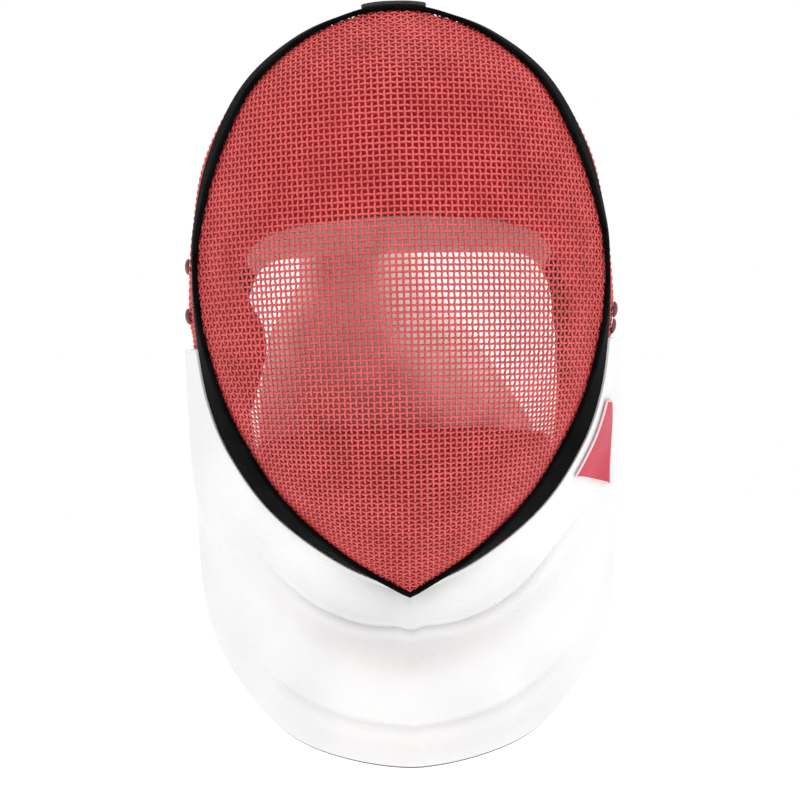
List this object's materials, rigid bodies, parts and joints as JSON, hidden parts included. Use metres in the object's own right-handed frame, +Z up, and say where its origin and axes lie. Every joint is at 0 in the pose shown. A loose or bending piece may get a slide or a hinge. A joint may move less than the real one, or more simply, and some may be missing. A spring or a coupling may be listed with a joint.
{
  "type": "fencing mask",
  "caption": "Fencing mask: domed wire cloth face with a centre ridge, black trim, wire cloth crown and sides, lining, rear tongue and cloth bib.",
  "frame": {"origin": "the head seat inside the crown, where the top of the wearer's head rests", "axes": "+Z up along the head, -Y the way the wearer looks, +X to the wearer's left, the right of a viewer in front"},
  "size_m": [0.2138, 0.2185, 0.3695],
  "materials": {
    "coated_wire": "satin red coating on woven wire",
    "black_trim": "matt black trim",
    "webbing": "black ribbed webbing",
    "red_lining": "dark red lining cloth",
    "pale_binding": "pale binding tape",
    "dark_binding": "dark binding tape",
    "pale_cloth": "pale covered tongue",
    "dark_pad": "dark padded cloth",
    "white_cloth": "white bib cloth",
    "red_patch": "red woven patch",
    "rivet_metal": "dark painted rivet"
  },
  "bodies": {
    "root": {"face_mesh": "coated_wire", "side_mesh": "coated_wire", "front_trim": "black_trim", "crown_tab": "webbing", "crown_lining": "red_lining", "crown_hem": "pale_binding", "rear_binding": "dark_binding", "tongue": "pale_cloth", "nape_pad": "dark_pad", "bib": "white_cloth", "bib_patch": "red_patch", "rivet_left_upper": "rivet_metal", "rivet_left_lower": "rivet_metal", "rivet_right_upper": "rivet_metal", "rivet_right_lower": "rivet_metal"}
  },
  "joints": []
}
